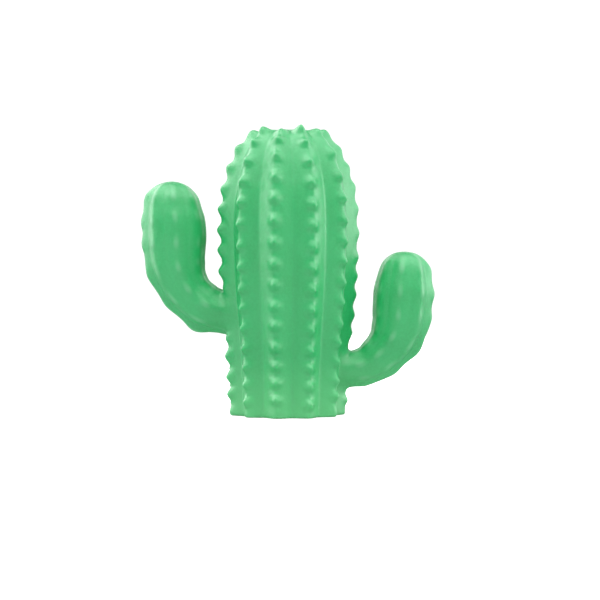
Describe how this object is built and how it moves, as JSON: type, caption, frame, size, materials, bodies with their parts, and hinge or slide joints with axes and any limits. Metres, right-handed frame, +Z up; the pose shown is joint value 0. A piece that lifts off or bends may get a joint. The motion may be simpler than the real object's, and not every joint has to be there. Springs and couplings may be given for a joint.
{
  "type": "moulded cactus figure",
  "caption": "One-piece moulded columnar cactus figure with a ribbed, nubbed body, one raised arm on each side and a flat foot.",
  "frame": {"origin": "Centre of the flat foot, on the body's axis, at the level of the surface it stands on.", "axes": "+Z up the body, +X towards the lower arm, -Y out of the front. The arms lie in the XZ plane."},
  "size_m": [0.1488, 0.0723, 0.1448],
  "materials": {
    "green_body": "soft satin vinyl, dyed through, with a very fine grain and no paint"
  },
  "bodies": {
    "root": {"cactus_figure": "green_body"}
  },
  "joints": []
}
